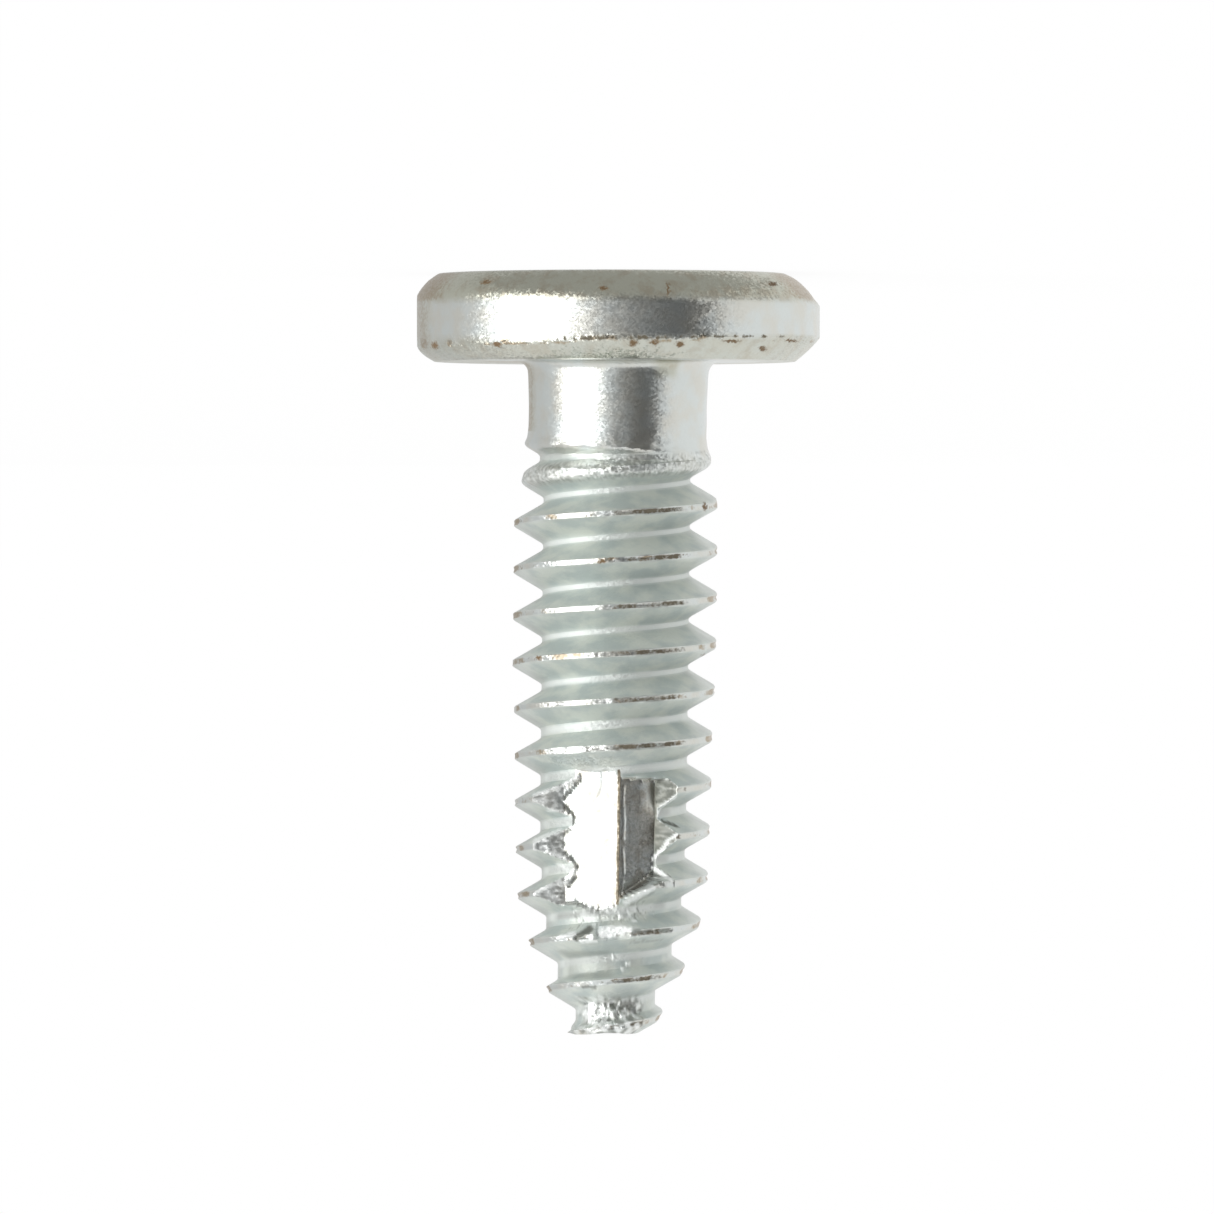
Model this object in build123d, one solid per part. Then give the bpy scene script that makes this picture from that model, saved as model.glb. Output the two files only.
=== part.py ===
from build123d import *
import math
import os

# A thread-cutting machine screw in plated steel, all one piece.
# Millimetres. It stands on the flat of its head: z = 0 is the top of the head, +Z runs to the tip.
# Angles go round the axis from +X, and the front of the screw is -Y.

# Head: a low wide disc with a rounded shoulder above and a bevel beneath
head_diameter = 9.15
head_thickness = 1.99
top_flat_diameter = 7.93
shoulder_height = 0.68
shoulder_bulge = 0.11
underside_flat_diameter = 8.27
bevel_height = 0.53

# Cross recess in the top of the head
recess_span = 4.9
recess_floor_span = 2.7
recess_wing_width = 0.85
recess_wing_floor_width = 0.6
recess_core_diameter = 2.4
recess_core_floor_diameter = 1.4
recess_depth = 2.1

# Shank, with its lengths measured from the underside of the head
shank_length = 15.28
shank_lean = 0.65
neck_diameter = 4.04
neck_chamfer = 0.08
neck_length = 1.64
lip_flare = 0.3
lip_length = 0.66
lip_drop = 0.195

# Thread: right-handed, one start
pitch = 1.0583
thread_diameter = 4.65
thread_depth = 0.625
crest_flat = 0.13
flank_angle = 30
crest_rise = 0.6
full_thread_end = 7.6
crest_wear = 0.145
groove_start = 1.618
groove_start_angle = -165
runout_angle = 300

# Nose: crests and roots both curve in to a blunt end
nose_length = 3.3
nose_end_diameter = 1.8
nose_bulge = 0.19
nose_end_thread_depth = 0.22
nose_root_bulge = 0.1

# Flute across the front of the lower thread: two flat facets that meet at a ridge
flute_start = 9.23
flute_length = 3.34
flute_depth = 0.598
flute_ridge_offset = 0.136
flute_left_width = 1.0
flute_left_slope = 17.3
flute_left_wall_angle = 63
flute_right_width = 0.795
flute_right_slope = 24
flute_right_wall_angle = 37

# How the cutting shapes are drawn
steps_per_turn = 12
nose_steps = 5
cutter_clearance = 0.03
cutter_overrun = 1.0

tip_z = head_thickness + shank_length
nose_z = tip_z - nose_length
full_thread_z = head_thickness + full_thread_end
thread_r = thread_diameter / 2
root_r = thread_r - thread_depth
lip_r = thread_r - lip_drop
worn_r = thread_r - crest_wear
nose_end_r = nose_end_diameter / 2
flank_slope = math.tan(math.radians(flank_angle))


def parabola(start, end, bulge, share):
    """Goes from start to end and stands bulge above the straight line halfway."""
    return start + (end - start) * share + 4 * bulge * share * (1 - share)


def shank_points():
    """Corners of the uncut shank as (radius, z), from inside the head to the tip."""
    lip_z = head_thickness + neck_length + lip_flare
    points = [
        (neck_diameter / 2, head_thickness / 2),
        (neck_diameter / 2, head_thickness + neck_length),
        (lip_r, lip_z),
        (lip_r, lip_z + lip_length),
        (thread_r, lip_z + lip_length + crest_rise),
        (thread_r, full_thread_z),
    ]
    for step in range(nose_steps + 1):
        share = step / nose_steps
        points.append((parabola(worn_r, nose_end_r, nose_bulge, share), nose_z + nose_length * share))
    return points


def crest_radius(z):
    """Radius of the uncut shank at height z, held at its last value beyond the tip."""
    points = shank_points()
    for (radius_a, z_a), (radius_b, z_b) in zip(points, points[1:]):
        if z <= z_b:
            return radius_a + (radius_b - radius_a) * (z - z_a) / (z_b - z_a)
    return nose_end_r


def root_radius(z):
    """Radius of the floor of the finished groove at height z."""
    share = min(1, max(0, (z - nose_z) / nose_length))
    return parabola(root_r, nose_end_r - nose_end_thread_depth, nose_root_bulge, share)


def thread_radius(z):
    """Radius that the crests reach at height z, or would reach where the thread is still rising."""
    return thread_r if z < full_thread_z else crest_radius(z)


def groove_corners(turns):
    """The groove's five corners as (radius, z), after so many turns from where it starts."""
    z = head_thickness + groove_start + pitch * turns
    root = root_radius(z)
    still_out = max(0, 1 - 360 * turns / runout_angle)
    lift = (lip_r + cutter_clearance - root_r) * still_out**2
    flanks = []
    for side in (-1, 1):
        crest_z = z + side * (pitch - crest_flat) / 2
        crest = thread_radius(crest_z)
        outer_z = crest_z - side * (lift - cutter_clearance) * flank_slope
        root_z = crest_z - side * (crest - root) * flank_slope
        flanks.append([(crest + cutter_clearance, outer_z), (root + lift, root_z)])
    (outer_a, root_a), (outer_b, root_b) = flanks
    return [outer_a, root_a, root_b, outer_b, (thread_r + cutter_overrun, z)]


def groove_point(turns, corner):
    """Where one corner of the groove is after so many turns."""
    radius, z = groove_corners(turns)[corner]
    angle = math.radians(groove_start_angle + 360 * turns)
    return Vector(radius * math.cos(angle), radius * math.sin(angle), z)


def groove_direction(turns, corner):
    """How fast a corner of the groove moves, per turn."""
    step = 1e-4
    return (groove_point(turns + step, corner) - groove_point(turns - step, corner)) / (2 * step)


def make_groove():
    """The space between the threads as one solid: its section led round the shank, turn by turn."""
    travel = shank_length + pitch / 2 + cutter_clearance - groove_start
    whole_turns = math.ceil(travel / pitch)
    faces = []
    for turn in range(whole_turns):
        marks = [turn + step / steps_per_turn for step in range(steps_per_turn + 1)]
        edges = []
        for corner in range(5):
            points = [groove_point(mark, corner) for mark in marks]
            ends = [groove_direction(marks[0], corner), groove_direction(marks[-1], corner)]
            edges.append(Edge.make_spline(points, tangents=ends, parameters=marks, scale=False))
        for corner in range(5):
            faces.append(Face.make_surface_from_curves(edges[corner], edges[(corner + 1) % 5]))
    for mark in (0, whole_turns):
        faces.append(Face(Wire.make_polygon([groove_point(mark, corner) for corner in range(5)])))
    return Solid(Shell(faces))


def make_flute_cutter():
    """A prism whose two inner sides are the flute's facets, with its ends sloped as the thread is."""
    far = thread_r + cutter_overrun
    ridge = Vector(-flute_ridge_offset, flute_depth - thread_r)
    outline = [ridge]
    for side, width, slope, wall_angle in (
        (1, flute_left_width, flute_left_slope, flute_left_wall_angle),
        (-1, flute_right_width, flute_right_slope, flute_right_wall_angle),
    ):
        facet_end = ridge + Vector(side * width, width * math.tan(math.radians(slope)))
        wall_run = (far + facet_end.Y) / math.tan(math.radians(wall_angle))
        outline += [facet_end, Vector(facet_end.X + side * wall_run, -far)][::side]
    with BuildPart() as cutter:
        with BuildSketch(Plane.XY.offset(head_thickness)):
            Polygon(*outline, align=None)
        extrude(amount=shank_length)
        climb = math.atan(pitch / (math.pi * thread_diameter))
        for z, keep in ((flute_start, Keep.TOP), (flute_start + flute_length, Keep.BOTTOM)):
            end = Plane(origin=(0, 0, head_thickness + z), z_dir=(-math.sin(climb), 0, math.cos(climb)))
            split(bisect_by=end, keep=keep)
    return cutter.part


def make_blank():
    """The shank before it is threaded, turned about Z: neck, lip, crest line and nose."""
    points = shank_points()
    with BuildPart() as blank:
        with BuildSketch(Plane.XZ):
            Polygon((0, points[0][1]), *points, (0, tip_z), align=None)
        revolve(axis=Axis.Z)
    return blank.part


def make_head():
    """The disc of the head, turned about Z."""
    top_edge = (top_flat_diameter / 2, 0)
    rim_top = (head_diameter / 2, shoulder_height)
    rim_bottom = (head_diameter / 2, head_thickness - bevel_height)
    under_edge = (underside_flat_diameter / 2, head_thickness)
    with BuildPart() as head:
        with BuildSketch(Plane.XZ):
            with BuildLine():
                Line((0, 0), top_edge)
                SagittaArc(top_edge, rim_top, -shoulder_bulge)
                Line(rim_top, rim_bottom)
                Polyline(rim_bottom, under_edge, (0, head_thickness), (0, 0))
            make_face()
        revolve(axis=Axis.Z)
    return head.part


def make_recess():
    """The cross recess: two wings and a core, all narrower at the floor."""
    with BuildPart() as recess:
        for turn in (0, 90):
            with BuildSketch(Plane.XY):
                Rectangle(recess_span, recess_wing_width, rotation=turn)
            with BuildSketch(Plane.XY.offset(recess_depth)):
                Rectangle(recess_floor_span, recess_wing_floor_width, rotation=turn)
            loft()
        with BuildSketch(Plane.XY):
            Circle(recess_core_diameter / 2)
        with BuildSketch(Plane.XY.offset(recess_depth)):
            Circle(recess_core_floor_diameter / 2)
        loft()
    return recess.part


def is_neck_seat(edge):
    """Tells whether an edge is where the neck meets the underside of the head."""
    level = abs(edge.center().Z - head_thickness) < neck_chamfer
    return level and edge.length < math.pi * (neck_diameter + underside_flat_diameter) / 2


def make_screw():
    """The head and the threaded shank, which leans a little as if bent in use."""
    lean_axis = Axis((0, 0, head_thickness), (0, 1, 0))
    body = make_head() + make_blank().rotate(lean_axis, shank_lean)
    body = body.chamfer(neck_chamfer, None, body.edges().filter_by(is_neck_seat))
    for cutter in (make_groove(), make_flute_cutter()):
        body -= cutter.rotate(lean_axis, shank_lean)
    return body - make_recess()


screw = make_screw()
screw.label = "screw"
os.makedirs("parts", exist_ok=True)
export_step(screw, "parts/screw.step")
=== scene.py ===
import math

import bpy
import numpy as np
from mathutils import Matrix, Vector, noise


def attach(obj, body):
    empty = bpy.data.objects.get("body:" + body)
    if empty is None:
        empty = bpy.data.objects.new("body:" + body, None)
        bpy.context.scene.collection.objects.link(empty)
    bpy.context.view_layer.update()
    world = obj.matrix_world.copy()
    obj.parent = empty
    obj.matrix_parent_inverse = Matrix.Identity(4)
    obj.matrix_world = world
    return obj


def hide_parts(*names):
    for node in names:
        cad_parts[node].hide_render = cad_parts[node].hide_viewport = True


bl_info = {
    "name": "Thread-cutting screw",
    "version": (1, 0, 0),
    "blender": (4, 5, 0),
    "location": "View3D > Sidebar > Screw",
    "description": "Builds a worn zinc-plated thread-cutting screw and a small studio round its CAD model",
    "category": "Object",
}

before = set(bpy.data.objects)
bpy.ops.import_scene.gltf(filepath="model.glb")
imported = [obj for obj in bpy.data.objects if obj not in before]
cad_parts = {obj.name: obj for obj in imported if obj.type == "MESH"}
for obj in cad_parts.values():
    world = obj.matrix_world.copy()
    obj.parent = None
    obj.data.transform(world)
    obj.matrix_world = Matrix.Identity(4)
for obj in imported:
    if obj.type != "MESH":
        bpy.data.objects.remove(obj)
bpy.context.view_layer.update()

# Lengths below are millimetres and angles are degrees, unless a line says otherwise. Blender works in metres.
# The screw stands on its head, as in the CAD model. A place on it is given by its bearing and its height z.
# The bearing is 0 at the front, towards -Y, and grows towards -X, which is the right side of the picture.
MM = 0.001

# Head
HEAD_THICKNESS = 1.99
HEAD_RADIUS = 4.575
HEAD_PROFILE = (
    (3.93, 0.0), (4.0, 0.035), (4.095, 0.09), (4.19, 0.155), (4.27, 0.23), (4.35, 0.315), (4.42, 0.40),
    (4.48, 0.49), (4.53, 0.58), (4.562, 0.66), (4.575, 0.74),
)
SIDE_ROWS = (0.86, 0.98, 1.10, 1.22, 1.32, 1.40)
BEVEL_START = 1.55
BEVEL_START_SWING = 0.09
BEVEL_BULGE = 0.055
BEVEL_STEPS = 6
UNDERSIDE_RADIUS = 4.10
UNDERSIDE_ROWS = (3.9, 3.5, 3.0, 2.6)
# The head is fuller at its left than at its right: (z, how much)
HEAD_SWING = ((0.0, 0.155), (0.09, 0.13), (0.6, 0.08), (0.72, 0.0))
BEVEL_SWING = 0.02
UNDERSIDE_SWING = 0.08
NECK_FILLET = 0.28
FILLET_ANGLES = (15, 30, 45, 60, 75, 90)
NECK_ROWS = 12
# How uneven the head and neck are, the edge of the bevel, and the bevel itself
HEAD_WAVES = 0.004
BEVEL_EDGE_WAVES = 0.012
BEVEL_WAVES = 0.006

# Cross recess: its span, the width of a wing, and the radius of its core
RECESS_DEPTH = 2.1
RECESS_TOP = (4.9, 0.85, 1.2)
RECESS_FLOOR = (2.7, 0.6, 0.7)
RECESS_CHAMFER = 0.05

# Shank before threading: (z, radius)
NECK_RADIUS = 2.05
NECK_TOP = 3.45
THREAD_RADIUS = 2.325
FULL_CREST_END = 9.0
NOSE_Z = 13.97
NOSE_RADIUS = 2.18
SHANK_LINE = (
    (1.0, NECK_RADIUS), (2.3, 2.045), (3.0, 2.02), (3.6, 2.025), (3.8, 2.06), (3.93, 2.13), (4.59, 2.13),
    (5.19, THREAD_RADIUS), (FULL_CREST_END, THREAD_RADIUS), (9.68, 2.285), (10.74, 2.25), (11.8, 2.248),
    (NOSE_Z, NOSE_RADIUS),
)
TIP_Z = 17.27
# Crest line of the nose: radius at its start and its end, and how far it bulges
NOSE_CREST = (NOSE_RADIUS, 0.9, 0.19)
# Bottom of the groove: (z, radius)
ROOT_LINE = (
    (3.0, 1.662), (11.0, 1.66), (12.6, 1.65), (13.6, 1.612), (14.5, 1.542), (15.4, 1.317), (15.88, 1.184),
    (16.42, 0.932), (16.9, 0.77), (17.3, 0.607),
)
# The lip above the neck: where its edge is, how that swings from side to side, where the lip ends, and how
# the metal rises round its edge, as (z from the edge, how much)
LIP_PEAK = 4.04
LIP_PEAK_SWING = 0.113
LIP_END = 4.56
LIP_FLARE = ((-0.45, 0.0), (-0.2, 0.03), (0.0, 0.11), (0.5, 0.11))

# Thread
PITCH = 1.0583
CREST_FLAT = 0.13
FLANK_SLOPE = math.tan(math.radians(30))
FRONT_CREST_Z = 5.442
GROOVE_START = 3.633
GROOVE_START_BEARING = 75
# The groove starts shallow: how high its floor is there, how far it is shifted, and for how many turns
RUNOUT_ANGLE = 300
RUNOUT_LIFT = 0.46
RUNOUT_SHIFT = 0.54
RUNOUT_SHIFT_TURNS = 0.7
START_LIFT = 0.16
START_TURNS = 0.2
# Differences between the left and the right of the thread
CREST_FLAT_SWING = 0.04
THREAD_SWING = 0.014
# How much lower the worn crests are at the right
CREST_WEAR = 0.03
# How softly the flanks meet the root, the crests, and the crests of the run-out
ROOT_BLEND = 0.07
CREST_BLEND = 0.02
RUNOUT_BLEND = 0.14
# A radius beyond the whole screw, where nothing is cut
NO_CUT = 9.0

# Flute: its outline seen along the axis, as (to the right, towards the front). The third and fifth corners
# are the outer ends of the two facets, the fourth is the ridge between them, and the rest are the thread's
# broken ends.
FLUTE_CORNERS = (
    (-1.88, 1.40), (-1.5, 1.405), (-1.136, 1.344), (0.136, 1.674), (0.954, 1.303), (1.45, 1.72), (1.62, 1.86),
)
# Bearings just outside the facets, and of the ridge
FACET_EDGES = (-40.3, 36.3)
WALL_EDGE = 36.2
RIDGE_BEARING = 4.2
RIDGE_RADIUS = 1.72
RIDGE_HEIGHTS = (11.25, 14.3)
# The flute gets a little deeper on its way down, as (z, share of the radius)
FLUTE_DEEPENING = ((11.3, 1.0), (12.3, 0.985), (13.35, 0.967), (14.4, 0.93))
# The flute's upper and lower ends, as (bearing, z), and how softly each cuts in
FLUTE_HEAD = ((-60, 11.24), (-40, 11.22), (0, 11.22), (6, 11.37), (36, 11.42), (60, 11.45))
FLUTE_FOOT = (
    (-60, 14.36), (-31, 14.36), (-12, 14.51), (3, 14.38), (6, 14.20), (32, 13.74), (45, 13.66), (70, 14.36),
)
HEAD_END_SOFT = 0.07
FOOT_SOFT = 0.12
# A faint round dent in the left facet: how far right its middle is, its z and radius, its depth and width
DENT_MIDDLE = (-0.95, 11.5)
DENT_RADIUS = 0.72
DENT_DEPTH = 0.005
DENT_WIDTH = 0.05
# The right facet curls inwards near its upper end: from which bearing, over how many degrees, and how deep
CURL_START = 22
CURL_RUN = 14
CURL_DEPTH = 0.03
CURL_HEIGHTS = (11.2, 12.2, 0.5)

# Wear and damage. A zone is (from, to, how soft its edges are), in degrees of bearing or millimetres of
# height. A patch is a zone of bearing and one of height. The turns of the thread are counted from the fifth
# crest's front.
# Radii at which noise is taken on the shank and on the head, and how far apart two seeds lie in it
NOISE_RADIUS = 2.2
HEAD_NOISE_RADIUS = 4.5
SEED_STEP = 17.3
# The shank lies within the first radius, and the marked edge of the head outside the second
SHANK_REACH = 2.4
HEAD_INSIDE = 3.4
# The folds and hollows of the front reach this far round to each side
FRONT_REACH = 80
# The seam, the grit and the wear of the crests begin at this height
THREAD_BEGINS = 4.9
# How uneven the thread is as a whole, its skin and its crests, and how far a crest's edge is from its middle
SHANK_WAVES = 0.010
SKIN_WAVES = 0.003
CREST_GRIT = 0.012
CREST_EDGE = 0.08
# One crest above the flute is scraped, the first one is pitted, and one under the flute is crushed
SCRAPED_TURN = 5
SCRAPED_BEARINGS = (-42, 28, 12)
SCRAPE_DEPTH = 0.04
FIRST_CREST = (4.20, 4.66)
PITTED_BEARINGS = (-50, 60, 30)
PIT_DEPTH = 0.035
CRUSHED_TURN = 8
CRUSHED_PATCH = ((-10, 15, 4), (14.72, 15.06, 0.06))
# The crushed crest as a flat: how far out it lies, at which z, how it slopes, and which way it faces
CRUSHED_FLAT = 1.74
CRUSHED_Z = 14.9
CRUSHED_SLOPE = 0.1
CRUSHED_BEARING = -10
# The fold that runs along the crests
SEAM_BEARINGS = (2, 44, 12)
SEAM_DEPTH = 0.04
SEAM_HALF_WIDTH = 0.045
# Burrs along the flute's left and right edges
BURR_LEFT = (-58, -34, 4)
BURR_RIGHT = (34, 50, 4)
BURR_HEIGHTS = (11.3, 14.3, 0.1)
BURR_HEIGHT = 0.05
BURR_WIDTH = 0.10
# Torn metal under the flute and at the tip, and a hook of metal at the tip's left
UNDER_FLUTE = ((-38, 36, 8), (14.30, 14.72, 0.1))
TIP_BEARINGS = (-50, 46, 20)
TIP_TORN_Z = 16.3
HOOK_BEARINGS = (-115, -45, 20)
HOOK_Z = 16.93
HOOK_REACH = 0.10
# Folds and hollows of the front: how high and how deep, and how far their edges wander
FOLD_HEIGHT = 0.035
HOLLOW_DEPTH = 0.05
FOLD_WANDER = 0.03
# Where the surface gets painted shade, glitters, is dirty or has residue on it
BESIDE_FLUTE_LEFT = ((-64, -28, 8), (11.3, 14.4, 0.3))
BESIDE_FLUTE_RIGHT = ((36, 50, 8), (11.3, 14.4, 0.3))
GLITTERING_ROOTS = ((-64, -30, 8), (11.3, 14.4, 0.3))
GLITTERING_FRONT = (-24, 16, 12)
GLITTERING_PITS = (-14, 40, 20)
GRIME_BEARINGS = (-2, 44, 14)
BELOW_FOOT = (-60, 2, 10)
BELOW_FOOT_Z = 14.2
ABOVE_FLUTE = ((-46, 2, 10), (10.92, 11.2, 0.1))
SHADED_FLANK = ((-52, 0, 12), (15.35, 15.98, 0.1))
SHADED_ROOT = ((-56, -2, 10), (14.2, 14.75, 0.1))
NECK_RESIDUE = ((24, 40, 8), (1.9, 2.35, 0.12))
RIM_LINE_DARK = (-18, 22, 6)
RIM_LINE_PALE = (22, 66, 4)

# Torn and folded places on the front, each along a line: from (to the right, z) to (to the right, z), how
# wide, and how strong. Strong ones up to 1 are raised folds with a painted highlight, those down to -1 are
# hollows with painted shade.
STROKES = (
    (-1.78, 11.83, -1.24, 11.65, 0.10, 1.0), (-1.24, 11.65, -0.81, 11.40, 0.08, 1.0),
    (-1.78, 11.95, -1.53, 11.95, 0.11, 0.8), (-1.46, 12.17, -1.16, 12.17, 0.08, 0.8),
    (-1.77, 13.06, -1.77, 12.88, 0.08, 1.0), (-1.77, 12.88, -1.52, 12.75, 0.09, 1.0),
    (-1.52, 12.75, -1.16, 12.63, 0.09, 1.0), (-1.40, 13.14, -1.06, 13.26, 0.09, 1.0),
    (-1.22, 13.40, -0.90, 13.58, 0.09, 0.6), (-1.75, 14.08, -1.44, 13.89, 0.08, 1.0),
    (-1.44, 13.89, -1.03, 13.80, 0.08, 1.0), (1.00, 12.26, 1.08, 12.06, 0.06, 0.9),
    (1.08, 12.06, 1.42, 11.83, 0.07, 0.9), (0.91, 13.26, 1.14, 13.01, 0.08, 1.0),
    (1.14, 13.01, 1.24, 12.83, 0.09, 1.0), (1.24, 12.83, 1.43, 12.68, 0.07, 1.0),
    (0.92, 13.45, 1.10, 13.57, 0.09, 1.0), (1.10, 13.57, 1.31, 13.70, 0.09, 0.9),
    (0.31, 14.24, 0.54, 14.12, 0.12, 1.0), (0.54, 14.12, 0.90, 13.89, 0.12, 1.0),
    (-0.66, 14.54, -0.36, 14.60, 0.14, 0.5), (0.18, 14.56, 0.20, 14.56, 0.09, 1.0),
    (0.49, 14.65, 0.50, 14.65, 0.09, 1.0), (-0.20, 14.94, 0.03, 14.88, 0.25, 1.0),
    (0.03, 14.88, 0.28, 14.85, 0.20, 1.0), (0.25, 14.88, 0.43, 14.83, 0.11, 1.0),
    (-1.22, 15.05, -0.86, 14.94, 0.09, 1.0), (-0.70, 15.11, -0.36, 15.11, 0.08, 0.9),
    (0.03, 15.47, 0.03, 15.47, 0.07, 0.9), (0.37, 15.62, 0.38, 15.62, 0.08, 0.9),
    (0.25, 15.74, 0.26, 15.74, 0.07, 0.9), (-0.57, 16.63, -0.41, 16.58, 0.07, 0.7),
    (-0.29, 16.60, -0.16, 16.63, 0.07, 0.7), (-0.59, 16.78, -0.41, 16.76, 0.14, 0.9),
    (-0.29, 16.85, -0.11, 16.81, 0.11, 0.9), (-0.38, 16.99, -0.22, 17.03, 0.09, 0.8),
    (-0.13, 16.99, 0.00, 17.01, 0.07, 0.8), (0.26, 16.83, 0.28, 16.83, 0.11, 1.0),
    (-0.07, 16.72, 0.12, 16.72, 0.06, 0.8), (-0.72, 17.08, -0.45, 17.17, 0.07, 0.7),
    (-1.17, 11.96, -0.74, 11.47, 0.05, -0.8), (-1.10, 12.06, -0.87, 12.29, 0.05, -0.8),
    (-0.87, 12.29, -0.89, 12.49, 0.05, -0.7), (-1.34, 12.85, -0.98, 12.63, 0.08, -0.6),
    (-1.27, 12.95, -1.13, 12.92, 0.11, -0.6), (-1.20, 13.04, -0.92, 13.26, 0.05, -0.8),
    (-0.92, 13.26, -0.78, 13.45, 0.05, -0.7), (-0.98, 13.88, -0.81, 13.65, 0.05, -0.8),
    (0.99, 11.50, 1.35, 11.59, 0.06, -1.0), (1.11, 12.39, 1.43, 12.51, 0.06, -1.0),
    (0.90, 13.60, 1.10, 13.79, 0.07, -0.8), (0.43, 14.29, 0.92, 14.00, 0.06, -0.3),
    (-0.82, 14.19, -0.52, 14.42, 0.05, -0.3), (-0.52, 14.42, -0.18, 14.47, 0.05, -0.3),
    (-0.18, 14.47, 0.09, 14.31, 0.05, -0.3), (-0.79, 15.04, -0.50, 14.84, 0.15, -1.0),
    (0.53, 14.88, 0.89, 14.86, 0.07, -0.5), (1.00, 14.85, 1.30, 14.85, 0.07, -0.4),
    (0.39, 15.13, 1.12, 15.07, 0.05, -0.3), (-0.05, 16.59, 0.14, 16.60, 0.16, -0.9),
    (0.23, 16.65, 0.36, 16.63, 0.14, -0.8), (-0.64, 16.16, -0.35, 16.16, 0.06, -0.7),
    (-0.22, 16.90, -0.04, 16.92, 0.07, -0.8), (0.07, 16.67, 0.16, 16.76, 0.07, -0.7),
    (0.24, 11.62, 0.22, 11.95, 0.04, 0.2), (0.22, 11.95, 0.25, 12.35, 0.04, 0.15),
    (0.26, 12.35, 0.23, 12.80, 0.04, 0.25), (0.23, 13.05, 0.26, 13.55, 0.04, 0.18),
    (0.25, 13.75, 0.22, 14.05, 0.04, 0.22),
)

# How fine the mesh is: steps and reach in degrees, then rows by their distance from a crest's middle
FINE_STEP = 0.7
FINE_REACH = 58
SIDE_STEP = 2.0
SIDE_REACH = 98
BACK_STEP = 6.0
WALL_COLUMNS = 14
COLUMN_GAP = 0.3
CREST_ROWS = (0.0, 0.018, 0.038, 0.058, 0.08, 0.12, 0.17, 0.22, 0.27, 0.32, 0.37, 0.42, 0.475)
MESH_TURNS = range(-3, 13)
# The ragged end of the screw: (how far to the right, z)
TIP_EDGE = (
    (-0.95, 17.23), (-0.80, 17.262), (-0.68, 17.262), (-0.54, 17.255), (-0.36, 17.235), (-0.17, 17.215),
    (0.19, 17.215), (0.37, 17.24), (0.55, 17.23), (0.73, 17.19), (0.89, 17.11), (1.0, 17.04), (1.1, 16.97),
    (1.19, 16.86), (1.3, 16.75),
)
TIP_EDGE_START = 17.2
CAP_RINGS = (0.93, 0.8, 0.6, 0.4, 0.2, 0.0)
CAP_SINK = 0.03
CAP_WAVES = 0.02
# Edges sharper than this stay sharp when the mesh is shaded
SHARP_ANGLE = 34
# Points are one where their millimetres agree to five decimals
WELD_STEPS = 1e5


def linear_colour(code):
    """Turns an sRGB hex value into the linear colour that Blender's sockets take."""
    channels = [int(code[start:start + 2], 16) / 255 for start in (0, 2, 4)]
    return tuple(c / 12.92 if c <= 0.04045 else ((c + 0.055) / 1.055) ** 2.4 for c in channels)


def smooth(value):
    """Goes softly from 0 to 1 as value does, and stays there."""
    share = np.clip(value, 0, 1)
    return share * share * (3 - 2 * share)


def soft_max(a, b, blend):
    """The larger of two heights, rounded where they meet."""
    share = np.clip(0.5 + 0.5 * (a - b) / blend, 0, 1)
    return b + (a - b) * share + blend * share * (1 - share)


def soft_min(a, b, blend):
    """The smaller of two heights, rounded where they meet."""
    return -soft_max(-a, -b, blend)


def parabola(start, end, bulge, share):
    """Goes from start to end and stands bulge above the straight line halfway."""
    return start + (end - start) * share + 4 * bulge * share * (1 - share)


def grain_places(bearing, z, radius, grain, seed):
    """Places on a cylinder, counted in grains of the given size. The seed picks the part of the noise."""
    turn = np.radians(bearing)
    places = np.stack([radius * np.sin(turn), radius * np.cos(turn), z + 0 * turn], axis=-1)
    return places / grain + seed * SEED_STEP


def rough(bearing, z, radius, grain, seed):
    """Smooth noise from -1 to 1 on the surface, with lumps of the given size."""
    places = grain_places(bearing, z, radius, grain, seed)
    values = [noise.noise(Vector(place)) for place in places.reshape(-1, 3).tolist()]
    return np.array(values).reshape(places.shape[:-1])


def chips(bearing, z, radius, grain, seed):
    """Crumpled metal: dents from 0 to about 1 deep that meet in sharp ridges, of the given size."""
    places = grain_places(bearing, z, radius, grain, seed)
    values = [noise.voronoi(Vector(place))[0][0] for place in places.reshape(-1, 3).tolist()]
    return 1 - np.array(values).reshape(places.shape[:-1])


def crest_radius(z):
    """Radius of the screw before its thread is cut, at height z."""
    share = np.clip((z - NOSE_Z) / (TIP_Z - NOSE_Z), 0, 1)
    heights, radii = zip(*SHANK_LINE)
    return np.where(z < NOSE_Z, np.interp(z, heights, radii), parabola(*NOSE_CREST, share))


def groove_radius(bearing, z):
    """Radius of the groove between the threads."""
    share = ((GROOVE_START_BEARING - bearing) % 360) / 360
    first = GROOVE_START + PITCH * share
    turn = np.round((z - first) / PITCH)
    middle = first + PITCH * turn
    travel = turn + share
    swing = THREAD_SWING * np.sin(np.radians(bearing))
    away = z - middle - swing - RUNOUT_SHIFT * np.clip(1 - travel / RUNOUT_SHIFT_TURNS, 0, None) ** 1.5
    lift = RUNOUT_LIFT * np.clip(1 - 360 * travel / RUNOUT_ANGLE, 0, None) ** 2
    lift = lift + START_LIFT * np.clip(1 - travel / START_TURNS, 0, 1)
    crest_flat = CREST_FLAT + CREST_FLAT_SWING * np.clip(np.sin(np.radians(bearing)), 0, 1)
    half = (PITCH - crest_flat) / 2
    crest_z = middle + np.sign(away) * half
    crest = np.where(crest_z < FULL_CREST_END, THREAD_RADIUS, crest_radius(crest_z))
    root = np.interp(middle, *zip(*ROOT_LINE))
    flank = crest - (half - np.abs(away)) / FLANK_SLOPE
    return np.where(turn < 0, NO_CUT, soft_max(flank, root, ROOT_BLEND) + lift)


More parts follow.
